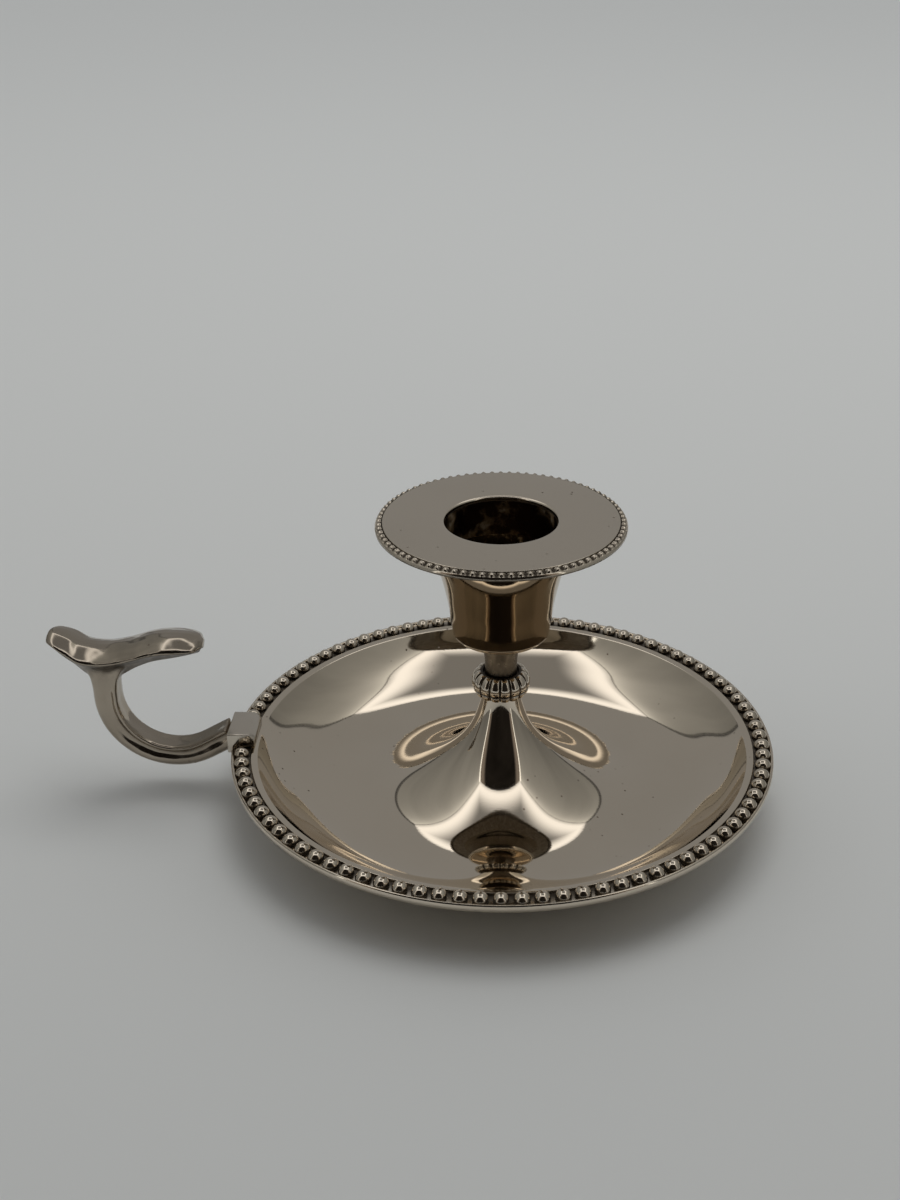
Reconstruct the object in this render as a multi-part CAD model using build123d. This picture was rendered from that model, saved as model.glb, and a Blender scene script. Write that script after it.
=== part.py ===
"""Chamberstick with a finger loop: a dish with a trumpet stem, a lift-off candle nozzle and a handle.

The frame: +Z is up, the origin is at the middle of the rest face on the stem's axis, and the handle
points along -X. All sizes are in millimetres.
"""
import os
from math import asin, cos, degrees, radians, sin

from build123d import *

# Dish and trumpet, drawn in one piece
metal = 1.5  # thickness of the drawn metal
rest_flat = 0.1  # taken off the underside where the dish rests
floor_radius = 29.5  # the lowest ring of the dish
wall_height = 9.9  # from the lowest ring up to the flat border
border_radius = 47.8  # where the dish wall turns over into the border
border_rise = 0.4  # how far the border climbs out to the beads
border_width = 1.4
flange_width = 3.2  # the dish metal that is hidden under the beading
flange_thickness = 0.8
beading_rebate = 0.75  # depth of the step that the beading sits in
trumpet_height = 21.6  # from the lowest ring up to the top of the trumpet
trumpet_top_radius = 3.45
# Each point is a share of the way out from the trumpet's top edge and a share of its height
trumpet_shares = ((0.048, 0.787), (0.115, 0.606), (0.257, 0.394), (0.482, 0.190), (0.712, 0.056))
trumpet_slope_share = 4.5  # fall over run of the outline at the trumpet's top edge
# Each point is a share of the way out from the floor ring to the border and a share of the wall's height
wall_shares = ((0.246, 0.046), (0.464, 0.182), (0.683, 0.429), (0.847, 0.672), (0.956, 0.914))
wall_slope_share = 0.8  # rise over run of the outline where it meets the border
hollow_share = 0.30  # how far along the trumpet's outline the hollow under it begins

# Beaded rim of the dish
rim_skirt = 0.65  # thickness of the beading's outer skirt
rim_tuck = 0.4  # how far the foot of the skirt is turned in
rim_tuck_height = 0.9
rim_base = 0.45  # metal under the beads
rim_lip_height = 0.5
rim_lip_width = 0.5
rim_bead_inset = 1.4  # from the edge of the dish metal in to the middle of the beads
rim_bead_radius = 1.35
rim_bead_count = 90
rim_bead_lift = 0.25  # bead centres above the base metal

# Gadrooned knop
knop_radius = 5.72
knop_height = 4.7
knop_foot_radius = 3.9
knop_core_inset = 0.68  # from the lobes' crowns in to the turned core
knop_lobe_count = 16
knop_upper_lobe = 0.9  # radius of the lobes in the upper row
knop_lower_lobe = 0.62
knop_upper_rise = 0.15  # from the knop's middle up to the upper row
knop_lower_drop = 1.6
knop_crease = 0.22  # radius of the groove between the rows
knop_crease_drop = 1.0
knop_recess_radius = 4.05
knop_recess_depth = 0.7

# Neck tube between the knop and the cup
neck_bottom_radius = 3.1
neck_top_radius = 4.0
neck_length = 8.5
neck_shares = ((0.08, 0.40), (0.39, 0.66))  # how far out and how far up the points of its side lie
neck_flare_share = 0.25  # run over rise of its side at the top

# Candle cup
cup_wall = 0.9
cup_taper = 4.1  # how much narrower the cup is at its shoulder than the room that the sleeve needs
cup_flare = 2.9  # how much wider the lip is than that room
cup_ledge = 3.9  # flat underside between the neck and the round shoulder
cup_shoulder_height = 1.1
cup_taper_share = 0.15  # run over rise of the wall at the shoulder
cup_flare_share = 0.65  # run over rise of the wall at the lip
# Each point is a share of the way out from the shoulder to the lip and a share of the height between them
cup_wall_shares = ((0.054, 0.119), (0.121, 0.274), (0.209, 0.420), (0.321, 0.571), (0.536, 0.758))
cup_height = 23.0

# Lift-off nozzle: the drip disc, its milled edge and the sleeve below it
nozzle_seat_gap = 0.1
disc_thickness = 1.0
disc_edge_radius = 23.4
disc_edge_width = 1.4
disc_edge_drop = 0.45  # how far the edge hangs below the disc's underside
disc_bead_count = 84
disc_bead_radius = 0.58
disc_lip_width = 0.3
bore_radius = 10.5
mouth_roll = 0.7  # how much wider the mouth is than the bore
mouth_drop = 0.8  # height of the rolled mouth
sleeve_length = 7.0
sleeve_taper = 1.15  # how much narrower the sleeve is at its foot
sleeve_wall = 1.6  # at the top, where the sleeve meets the disc
sleeve_clearance = 0.3

# Handle: square collar, loop arm and thumb piece
collar_width = 9.0
collar_overhang = 0.75  # how far the collar stands out past the rim
collar_inset = 0.9  # how far it reaches in over the border
collar_rise = 3.0  # above the border
collar_slant = 1.2
loop_radius = 12.9
loop_reach = 11.2  # from the collar's outer face out to the loop's middle
arm_start_rise = 0.56  # from the border up to where the arm leaves the collar
arm_lean = 30.0  # degrees that the arm slopes down as it leaves the collar
arm_width = 5.4
arm_thickness = 4.9
arm_far_thickness = 5.2
# Each point is a share of the arm's width and of its thickness, from the broad inner face to the waist
arm_face_shares = ((0.45, -0.5), (0.5, -0.42), (0.42, -0.1))
arm_roll_share = 0.5
thumb_inward = 20.2  # from the arm's far side in towards the stem
thumb_outward = 10.6  # from the arm's far side out to the tip
thumb_rise = 11.4  # from the loop's middle up to the saddle's lowest point
thumb_half_width = 5.2
thumb_depth = 6.4  # from the crown down to the keel, near the middle of each lobe
thumb_edge_drop = 1.6  # how far the side edges lie below the crown
thumb_rim = 0.9  # height of the side edges
# Each row is a station along the thumb piece, from its inner tip: its share of the length, its half
# width as a share, and the rise of the crown and the depth of the keel as shares of the full depth
thumb_shares = (
    (0.000, 0.38, 0.19, 0.27),
    (0.025, 0.63, 0.31, 0.50),
    (0.070, 0.85, 0.39, 0.67),
    (0.150, 0.96, 0.44, 0.83),
    (0.270, 1.00, 0.42, 0.94),
    (0.420, 1.00, 0.23, 0.98),
    (0.550, 1.00, 0.06, 1.17),
    (0.640, 1.00, 0.00, 1.23),
    (0.730, 1.00, 0.03, 1.20),
    (0.820, 0.98, 0.23, 1.08),
    (0.900, 0.88, 0.42, 0.95),
    (0.955, 0.71, 0.48, 0.73),
    (0.985, 0.50, 0.43, 0.50),
    (1.000, 0.29, 0.31, 0.27),
)
# Where the web under the thumb piece begins: shares of the half width and of the depth below the edge
thumb_web_shares = (0.5, 0.36)

# Screw stack that holds the stem together
rod_radius = 1.5
rod_clearance = 0.1
rod_head_radius = 3.1
rod_head_height = 1.1
rod_tail = 1.4  # how far the rod stands out below its nut
washer_thickness = 0.8
washer_clearance = 0.35
nut_across_flats = 5.5
nut_height = 2.4

# Heights and radii that follow from the sizes above
floor_thickness = metal - rest_flat
beading_inner_radius = border_radius + border_width
flange_radius = beading_inner_radius + flange_width
rim_radius = flange_radius + rim_skirt
rim_bead_circle = flange_radius - rim_bead_inset
mouth_radius = bore_radius + mouth_roll
sleeve_radius = bore_radius + sleeve_wall
cup_room_radius = sleeve_radius + sleeve_clearance + cup_wall
cup_top_radius = cup_room_radius + cup_flare
cup_shoulder_radius = cup_room_radius - cup_taper
cup_bottom_radius = neck_top_radius + cup_ledge
collar_outer_radius = rim_radius + collar_overhang
collar_inner_radius = beading_inner_radius - collar_inset
border_top = floor_thickness + wall_height
border_end = border_top + border_rise
rim_seat = border_end - beading_rebate
flange_low = rim_seat - flange_thickness
knop_bottom = floor_thickness + trumpet_height
knop_middle = knop_bottom + knop_height / 2
neck_bottom = knop_bottom + knop_height - knop_recess_depth
cup_bottom = neck_bottom + neck_length
cup_top = cup_bottom + cup_height
disc_bottom = cup_top + nozzle_seat_gap
disc_top = disc_bottom + disc_thickness
disc_radius = disc_edge_radius - disc_edge_width
rod_hole = rod_radius + rod_clearance
arm_start_height = border_top + arm_start_rise
arm_run = (loop_reach - loop_radius * sin(radians(arm_lean))) / cos(radians(arm_lean))
loop_centre_radius = collar_outer_radius + loop_reach
loop_centre_height = (
    arm_start_height + loop_radius * cos(radians(arm_lean)) - arm_run * sin(radians(arm_lean)))
arm_far_radius = loop_centre_radius + loop_radius
thumb_inner_radius = arm_far_radius - thumb_inward
thumb_length = thumb_inward + thumb_outward
thumb_height = loop_centre_height + thumb_rise
overrun = metal  # how far a cutting tool runs past the face that it cuts


def turned(*edges):
    """Spin a closed outline, drawn as radius and height, around the stem's axis."""
    outline = Curve() + list(edges)
    return revolve(make_face(Plane.XZ * outline), Axis.Z, 360)


def ring(inner, outer, low, high):
    """A plain ring around the stem's axis."""
    return turned(Polyline((inner, low), (outer, low), (outer, high), (inner, high), close=True))


def around(count, radius, height, skip=()):
    """Places spaced evenly round a circle, the first of them at the handle."""
    turns = [index for index in range(count) if index not in skip]
    return [Rot(0, 0, 180 + index * 360 / count) * Pos(radius, 0, height) for index in turns]


def flat(place):
    """A curve's point as plain numbers."""
    return (place.X, place.Y)


def dish_curves():
    """The upper outline of the dish, as a trumpet curve and a wall curve that meet at the floor ring."""
    top = (trumpet_top_radius, knop_bottom)
    low = (floor_radius, floor_thickness)
    edge = (border_radius, border_top)
    reach = low[0] - top[0]
    falling = [(top[0] + reach * out, low[1] + trumpet_height * up) for out, up in trumpet_shares]
    rising = [(low[0] + (edge[0] - low[0]) * out, low[1] + wall_height * up) for out, up in wall_shares]
    trumpet = Spline(top, *falling, low, tangents=((1, -trumpet_slope_share), (1, 0)))
    wall = Spline(low, *rising, edge, tangents=((1, 0), (1, wall_slope_share)))
    return trumpet, wall


def points_below(curve, shares):
    """Points one metal thickness below a curve, square to it."""
    places = [(curve @ share, curve % share) for share in shares]
    return [(place.X + way.Y * metal, place.Y - way.X * metal) for place, way in places]


def hollow_top():
    """Radius and height of the flat ceiling in the hollow under the trumpet."""
    trumpet, wall = dish_curves()
    return points_below(trumpet, [hollow_share])[0]


def tray_dish():
    """The dish, drawn in one with its trumpet stem, hollow underneath and flattened where it rests."""
    trumpet, wall = dish_curves()
    steps = 8
    even_shares = [index / steps for index in range(steps + 1)]
    hollow_shares = [hollow_share + (1 - hollow_share) * share for share in even_shares]
    under_points = points_below(trumpet, hollow_shares) + points_below(wall, even_shares[1:])
    under = Spline(*under_points)
    border = Polyline(
        flat(wall @ 1), (beading_inner_radius, border_end), (beading_inner_radius, rim_seat),
        (flange_radius, rim_seat), (flange_radius, flange_low), (beading_inner_radius, flange_low),
        under_points[-1])
    ceiling = under_points[0]
    middle = Polyline(flat(trumpet @ 0), (rod_hole, knop_bottom), (rod_hole, ceiling[1]), ceiling)
    body = turned(trumpet, wall, border, under, middle)
    below = Cylinder(rim_radius, overrun, align=(Align.CENTER, Align.CENTER, Align.MIN))
    return body - Pos(0, 0, -overrun) * below


def collar_block():
    """The collar's outer form: a square block that slants down to the dish on its inner side."""
    high = border_top + collar_rise
    low = flange_low
    outline = Polyline(
        (-collar_outer_radius, low), (-collar_outer_radius, high),
        (-collar_inner_radius - collar_slant, high),
        (-collar_inner_radius, high - collar_slant), (-collar_inner_radius, low), close=True)
    face = make_face(Plane.XZ * outline)
    return extrude(face, collar_width / 2, both=True)


def rim_beading():
    """The beaded border, open where the collar sits on the rim."""
    low = rim_seat
    high = rim_seat + rim_base
    lip = rim_radius - rim_lip_width
    base = turned(Polyline(
        (beading_inner_radius, low), (flange_radius, low), (flange_radius, flange_low),
        (rim_radius - rim_tuck, flange_low), (rim_radius, flange_low + rim_tuck_height),
        (rim_radius, high + rim_lip_height),
        (lip, high + rim_lip_height), (lip, high), (beading_inner_radius, high), close=True))
    covered = degrees(asin((collar_width / 2 + rim_bead_radius) / rim_bead_circle)) * rim_bead_count / 360
    hidden = [index % rim_bead_count for index in range(-int(covered), int(covered) + 1)]
    places = around(rim_bead_count, rim_bead_circle, high - rim_base / 2, hidden)
    sunk = degrees(asin((rim_bead_lift + rim_base / 2) / rim_bead_radius))
    bead = Sphere(rim_bead_radius, arc_size1=-sunk, align=(Align.CENTER, Align.CENTER, Align.MIN))
    return base - collar_block() + [place * bead for place in places]


def handle_collar():
    """The collar, slotted over the rim of the dish."""
    return collar_block() - ring(0, flange_radius, flange_low, rim_seat) - tray_dish()


def stem_knop():
    """The gadrooned knop: a turned core with two rows of lobes, and a recess for the neck's foot."""
    top = knop_bottom + knop_height
    core_radius = knop_radius - knop_core_inset
    belly = ThreePointArc(
        (knop_foot_radius, knop_bottom), (core_radius, knop_middle),
        (knop_recess_radius + knop_crease, top))
    core = turned(
        Polyline((rod_hole, knop_bottom), (knop_foot_radius, knop_bottom)), belly,
        Polyline(
            belly @ 1, (knop_recess_radius, top), (knop_recess_radius, neck_bottom),
            (rod_hole, neck_bottom), (rod_hole, knop_bottom)))
    crease = Pos(0, 0, knop_middle - knop_crease_drop) * Torus(core_radius, knop_crease)
    upper = around(knop_lobe_count, knop_radius - knop_upper_lobe, knop_middle + knop_upper_rise)
    lower = around(knop_lobe_count, core_radius - knop_lower_lobe / 2, knop_middle - knop_lower_drop)
    lobes = [place * Rot(0, 90, 0) * Sphere(knop_upper_lobe) for place in upper]
    lobes += [place * Rot(0, 90, 0) * Sphere(knop_lower_lobe) for place in lower]
    half_step = Rot(0, 0, 180 / knop_lobe_count)
    return core - crease + [half_step * lobe for lobe in lobes]


def neck_tube():
    """The short tube between the knop and the cup, straight below and flared above."""
    reach = neck_top_radius - neck_bottom_radius
    side = [(neck_bottom_radius + reach * out, neck_bottom + neck_length * up) for out, up in neck_shares]
    low = (neck_bottom_radius, neck_bottom)
    high = (neck_top_radius, cup_bottom)
    return turned(
        Polyline(high, (rod_hole, cup_bottom), (rod_hole, neck_bottom), low),
        Spline(low, *side, high, tangents=((0, 1), (neck_flare_share, 1))))


def socket_cup():
    """The candle cup: a flared wall on a low round shoulder, with a hole in its floor for the rod."""
    shoulder = cup_bottom + cup_shoulder_height
    reach = cup_top_radius - cup_shoulder_radius
    rise = cup_top - shoulder
    wall = [(cup_shoulder_radius + reach * out, shoulder + rise * up) for out, up in cup_wall_shares]
    inner_wall = [(radius - cup_wall, height) for radius, height in wall]
    low_ways = ((1, 0), (cup_taper_share, 1))
    high_ways = ((cup_taper_share, 1), (cup_flare_share, 1))
    outer_low = (cup_bottom_radius, cup_bottom)
    outer_high = (cup_shoulder_radius, shoulder)
    outer_lip = (cup_top_radius, cup_top)
    inner_low = (cup_bottom_radius, cup_bottom + cup_wall)
    inner_high = (cup_shoulder_radius - cup_wall, shoulder)
    inner_lip = (cup_top_radius - cup_wall, cup_top)
    return turned(
        Polyline((rod_hole, cup_bottom), outer_low),
        Spline(outer_low, outer_high, tangents=low_ways),
        Spline(outer_high, *wall, outer_lip, tangents=high_ways),
        Polyline(outer_lip, inner_lip),
        Spline(inner_high, *inner_wall, inner_lip, tangents=high_ways),
        Spline(inner_low, inner_high, tangents=low_ways),
        Polyline(inner_low, (rod_hole, cup_bottom + cup_wall), (rod_hole, cup_bottom)))


def nozzle_sleeve():
    """The tapered sleeve that hangs in the cup and holds the candle."""
    low = disc_bottom - sleeve_length
    return turned(Polyline(
        (bore_radius, low), (sleeve_radius - sleeve_taper, low), (sleeve_radius, disc_bottom),
        (bore_radius, disc_bottom), close=True))


def nozzle_disc():
    """The drip disc, with its mouth rolled down into the bore."""
    low_mouth = (bore_radius, disc_top - mouth_drop)
    return turned(
        Polyline(low_mouth, (bore_radius, disc_bottom), (disc_radius, disc_bottom), (disc_radius, disc_top),
                 (mouth_radius, disc_top)),
        RadiusArc((mouth_radius, disc_top), low_mouth, mouth_drop))


def nozzle_beading():
    """The milled edge round the drip disc."""
    low = disc_bottom - disc_edge_drop
    circle = disc_radius + disc_bead_radius + disc_lip_width / 2
    lip = disc_edge_radius - disc_lip_width
    base = turned(Polyline(
        (disc_radius, low), (disc_edge_radius, low), (disc_edge_radius, disc_bottom), (lip, disc_bottom),
        (disc_radius, disc_bottom), close=True))
    beads = [place * Sphere(disc_bead_radius) for place in around(disc_bead_count, circle, disc_bottom)]
    return base + beads


def tie_rod():
    """The rod that clamps the cup, neck and knop down on the trumpet, with its head inside the cup."""
    head_low = cup_bottom + cup_wall
    low = hollow_top()[1] - washer_thickness - nut_height - rod_tail
    head = ring(0, rod_head_radius, head_low, head_low + rod_head_height)
    return head + ring(0, rod_radius, low, head_low)


def base_washer():
    """The washer against the ceiling of the hollow under the trumpet."""
    radius, height = hollow_top()
    return ring(rod_hole, radius - washer_clearance, height - washer_thickness, height)


def base_nut():
    """The hexagonal nut under the washer."""
    height = hollow_top()[1] - washer_thickness - nut_height
    hexagon = RegularPolygon(nut_across_flats / 2, 6, major_radius=False) - Circle(rod_radius)
    return Pos(0, 0, height) * extrude(hexagon, nut_height)


def arm_section(place, way, width, thickness):
    """One section of the arm, square to the way that it runs: a broad inner face over a rounded roll."""
    plane = Plane(origin=place, x_dir=(0, 1, 0), z_dir=way)
    right = [(width * across, thickness * along) for across, along in arm_face_shares]
    left = [(-across, along) for across, along in right]
    face = Polyline(left[2], left[1], left[0], right[0], right[1], right[2])
    roll = ThreePointArc(right[2], (0, thickness * arm_roll_share), left[2])
    return plane * make_face(Curve() + [face, roll])


def thumb_station(length_share, width_share, crown_share, keel_share):
    """One section of the thumb piece: a crowned top over a deeper keel."""
    radius = thumb_inner_radius + thumb_length * length_share
    half = thumb_half_width * width_share
    crown = thumb_height + thumb_depth * crown_share
    edge = crown - thumb_edge_drop * width_share
    keel = crown - thumb_depth * keel_share
    plane = Plane(origin=(-radius, 0, 0), x_dir=(0, -1, 0), z_dir=(-1, 0, 0))
    rim_low = edge - thumb_rim * width_share
    top = ThreePointArc((-half, edge), (0, crown), (half, edge))
    web = (half * thumb_web_shares[0], rim_low + (keel - rim_low) * thumb_web_shares[1])
    low = Spline((half, rim_low), web, (0, keel), (-web[0], web[1]), (-half, rim_low))
    sides = [Line((half, edge), (half, rim_low)), Line((-half, rim_low), (-half, edge))]
    return plane * make_face(Curve() + [top, low, *sides])


def thumb_piece():
    """The saddle-shaped rest for the thumb."""
    return loft([thumb_station(*row) for row in thumb_shares])


def handle_arm():
    """The loop arm: straight out of the collar, round the loop and up into the thumb piece."""
    centre = (-loop_centre_radius, loop_centre_height)
    first = arm_lean - 90
    last = -180
    count = 7
    way = turn_way(first)
    behind = (
        -collar_outer_radius - way[0] * arm_thickness, 0, arm_start_height - way[2] * arm_thickness)
    sections = [arm_section(behind, way, arm_width, arm_thickness)]
    for index in range(count + 1):
        share = index / count
        angle = first + (last - first) * share
        spoke = (loop_radius * cos(radians(angle)), loop_radius * sin(radians(angle)))
        place = (centre[0] + spoke[0], 0, centre[1] + spoke[1])
        thickness = arm_thickness + (arm_far_thickness - arm_thickness) * share
        sections.append(arm_section(place, turn_way(angle), arm_width, thickness))
    top = (-arm_far_radius, 0, thumb_height - thumb_edge_drop)
    sections.append(arm_section(top, (0, 0, 1), arm_width, arm_far_thickness))
    inner_side = Pos(-collar_outer_radius, 0, 0) * Box(
        collar_outer_radius, collar_width, thumb_height, align=(Align.MIN, Align.CENTER, Align.MIN))
    return loft(sections) - inner_side - thumb_piece()


def turn_way(angle):
    """The direction of travel at an angle round the loop, clockwise with +X to the right."""
    return (sin(radians(angle)), 0, -cos(radians(angle)))


makers = (
    tray_dish, rim_beading, stem_knop, neck_tube, socket_cup, nozzle_sleeve, nozzle_disc, nozzle_beading,
    handle_collar, handle_arm, thumb_piece, tie_rod, base_washer, base_nut)

os.makedirs("parts", exist_ok=True)
for maker in makers:
    solid = maker()
    name = maker.__name__
    export_step(solid, os.path.join("parts", name + ".step"))
    box = solid.bounding_box()
    print(name, len(solid.solids()), round(solid.volume, 1), round(box.min.Z, 2), round(box.max.Z, 2))
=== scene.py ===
# %% [markdown]
# # A polished chamberstick with a finger loop
# This lesson dresses the packed model of a small silver-plated chamberstick: a dish with a beaded rim,
# a trumpet stem, a gadrooned knop, a candle cup with a lift-off drip disc, and a cast handle.
# Polished metal has hardly any colour of its own. What we see on it is the room, bent by its shape, so
# the lesson has two halves: shapes that are smooth enough to mirror well, and a plain studio to mirror.

# %% Load the packed model
from math import atan2, cos, degrees, pi, radians, sin

import bmesh
import bpy
import numpy as np
from mathutils import Matrix, Vector


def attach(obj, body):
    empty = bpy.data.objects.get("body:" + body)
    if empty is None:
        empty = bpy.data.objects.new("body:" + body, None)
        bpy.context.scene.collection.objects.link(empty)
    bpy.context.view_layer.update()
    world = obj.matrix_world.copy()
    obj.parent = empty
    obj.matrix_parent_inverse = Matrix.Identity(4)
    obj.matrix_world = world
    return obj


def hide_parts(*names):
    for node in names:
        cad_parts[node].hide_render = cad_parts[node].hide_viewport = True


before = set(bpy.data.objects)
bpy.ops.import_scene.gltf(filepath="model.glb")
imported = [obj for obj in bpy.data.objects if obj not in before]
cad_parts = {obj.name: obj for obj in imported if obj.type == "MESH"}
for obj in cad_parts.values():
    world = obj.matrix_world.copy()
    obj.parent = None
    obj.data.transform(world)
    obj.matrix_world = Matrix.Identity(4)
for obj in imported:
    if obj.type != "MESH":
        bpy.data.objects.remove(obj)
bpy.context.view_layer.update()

mm = 0.001

# %% [markdown]
# ## Sizes
# The sizes are the maker's, in millimetres, and are the same as in the solid model. Radii are measured
# from the stem's axis and heights from the table.

# %% Sizes of the dish and its stem
metal = 1.5
floor_height, floor_radius = 1.4, 29.5
border_radius, border_height = 47.8, 11.3
border_end_radius, border_end_height = 49.2, 11.7
rim_seat, flange_radius, flange_low = 10.95, 52.4, 10.15
rim_radius, rim_top = 53.05, 11.4
trumpet_radius, trumpet_height = 3.45, 23.0
rod_hole = 1.6
trumpet_points = ((4.70, 18.40), (6.45, 14.49), (10.14, 9.91), (16.01, 5.50), (22.00, 2.61))
wall_points = ((34.0, 1.86), (38.0, 3.20), (42.0, 5.65), (45.0, 8.05), (47.0, 10.25))
print("dish", 2 * rim_radius, "mm across and", rim_top, "mm high at its channel")

# %% Sizes of the knop, neck, cup and nozzle
knop_core, knop_low, knop_high = 2.86, 23.0, 27.7
neck_low, neck_radius, neck_points = 27.0, 3.1, ((3.17, 30.4), (3.45, 32.6), (4.0, 35.5))
cup_low, cup_shoulder, cup_high = 35.5, 36.6, 58.5
cup_foot_radius, cup_shoulder_radius, cup_radius, cup_wall = 7.9, 9.2, 16.2, 0.9
cup_taper, cup_flare = (0.15, 1), (0.65, 1)
cup_points = ((9.58, 39.2), (10.06, 42.6), (10.70, 45.8), (11.53, 49.1), (13.05, 53.2))
disc_low, disc_high, disc_radius, edge_radius = 58.6, 59.6, 22.0, 23.4
bore_radius, mouth_radius = 10.5, 11.2
sleeve_low, sleeve_foot_radius, sleeve_radius = 51.6, 10.95, 12.1
print("disc", 2 * edge_radius, "mm across, its top", disc_high, "mm above the table")

# %% Sizes of the handle
collar_outer, collar_jaw, collar_inner, collar_half = 53.8, 52.45, 48.3, 4.5
collar_low, collar_high, collar_slant = 10.15, 14.3, 1.2
loop_middle, loop_height, loop_radius, arm_lean = 65.0, 20.29, 12.9, radians(30)
thumb_start, thumb_length, thumb_height, thumb_half, thumb_depth = 57.7, 30.8, 31.69, 5.2, 6.4
print("whole piece", round(thumb_start + thumb_length + rim_radius, 2), "mm long")

# %% [markdown]
# ## Lines and skins
# Every turned piece starts as a line of radius and height pairs. A mirror shows every kink, so the long
# curves are cubic splines, whose bend changes steadily, and the corners are eased by a small curve,
# because a buffed edge is never knife sharp and its tiny round is what catches the light.

# %% A smooth line through points
def smooth_line(points, first_way, last_way, steps):
    p = np.array(points, float)
    h = np.hypot(*np.diff(p, axis=0).T)
    n = len(p)
    a, b = np.zeros((n, n)), np.zeros((n, 2))
    a[0, 0] = a[-1, -1] = 1
    b[0] = np.array(first_way) / np.hypot(*first_way)
    b[-1] = np.array(last_way) / np.hypot(*last_way)
    for i in range(1, n - 1):
        a[i, i - 1], a[i, i], a[i, i + 1] = h[i], 2 * (h[i - 1] + h[i]), h[i - 1]
        b[i] = 3 * (h[i] * (p[i] - p[i - 1]) / h[i - 1] + h[i - 1] * (p[i + 1] - p[i]) / h[i])
    m = np.linalg.solve(a, b)
    start = np.concatenate([[0], np.cumsum(h)])
    s = np.linspace(0, start[-1], steps + 1)
    k = np.clip(np.searchsorted(start, s, "right") - 1, 0, n - 2)
    u, length = ((s - start[k]) / h[k])[:, None], h[k][:, None]
    return (
        (2 * u**3 - 3 * u**2 + 1) * p[k] + (u**3 - 2 * u**2 + u) * length * m[k]
        + (3 * u**2 - 2 * u**3) * p[k + 1] + (u**3 - u**2) * length * m[k + 1])


def eased(corners, reach, steps=5):
    """Corners joined by straight runs, each inner corner eased over its reach."""
    p = [np.array(c[:2], float) for c in corners]
    out = [p[0]]
    for before, here, after, corner in zip(p, p[1:], p[2:], corners[1:]):
        r = corner[2] if len(corner) > 2 else reach
        one = here + (before - here) * min(r / np.hypot(*(before - here)), 0.48)
        two = here + (after - here) * min(r / np.hypot(*(after - here)), 0.48)
        for t in np.linspace(0, 1, steps):
            out.append((1 - t) ** 2 * one + 2 * t * (1 - t) * here + t**2 * two)
    return np.array(out + [p[-1]])


def line(*pieces):
    """Lines joined end to end, without the doubled points."""
    points = np.concatenate([np.array(piece, float) for piece in pieces])
    gap = np.hypot(*(points - np.roll(points, 1, axis=0)).T)
    return points[gap > 1e-6]


print("a test corner", eased([(0, 0), (1, 0), (1, 1)], 0.2).round(2).tolist())

# %% [markdown]
# A skin is a grid of points: one way round the piece and the other way along its outline. Both ways
# close on themselves, so each skin is a closed shell with no stray faces. The tarnish that a polishing
# cloth can't reach and some painted shade are kept on the points as one darkness, and the finishes read
# it later.

# %% Skins and turned pieces
def finish_mesh(name, mesh, edge=34):
    work = bmesh.new()
    work.from_mesh(mesh)
    bmesh.ops.recalc_face_normals(work, faces=work.faces)
    work.to_mesh(mesh)
    work.free()
    mesh.polygons.foreach_set("use_smooth", [True] * len(mesh.polygons))
    mesh.set_sharp_from_angle(angle=radians(edge))
    piece = bpy.data.objects.new(name, mesh)
    bpy.context.scene.collection.objects.link(piece)
    return piece


def grid_faces(across, along, offset=0):
    i, j = np.meshgrid(np.arange(across), np.arange(along), indexing="ij")
    i2, j2 = (i + 1) % across, (j + 1) % along
    corners = [i * along + j, i2 * along + j, i2 * along + j2, i * along + j2]
    return (np.stack(corners, -1) + offset).reshape(-1, 4)


def keep_tarnish(mesh, values):
    shade = mesh.attributes.new("tarnish", "FLOAT", "POINT")
    shade.data.foreach_set("value", np.ascontiguousarray(values, dtype=np.float32))


def skin(name, places, tarnish=0.0, edge=34):
    across, along = places.shape[:2]
    mesh = bpy.data.meshes.new(name)
    mesh.from_pydata((places.reshape(-1, 3) * mm).tolist(), [], grid_faces(across, along).tolist())
    keep_tarnish(mesh, np.broadcast_to(tarnish, (across, along)).ravel())
    return finish_mesh(name, mesh, edge)


def spun(outline, turns, swell=None):
    """Points of an outline spun round the stem, the first turn at the handle."""
    angle = pi + np.arange(turns) * 2 * pi / turns
    radius = np.repeat(outline[None, :, 0], turns, 0)
    height = np.repeat(outline[None, :, 1], turns, 0)
    if swell is not None:
        radius, height = radius + swell[..., 0], height + swell[..., 1]
    return np.stack([radius * np.cos(angle)[:, None], radius * np.sin(angle)[:, None], height], -1)


def turned(name, outline, turns=256, tarnish=0.0):
    return skin(name, spun(outline, turns), tarnish)


print("a skin of 4 by 3 points has", len(grid_faces(4, 3)), "faces")

# %% [markdown]
# ## The dish and its trumpet stem
# On the real object a disc of sheet metal is spun over a form, so that the stem rises out of the floor
# like the bell of a trumpet. One line makes the whole upper side. The under side is the same line, one
# metal thickness below it, and flat where the dish rests.

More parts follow.
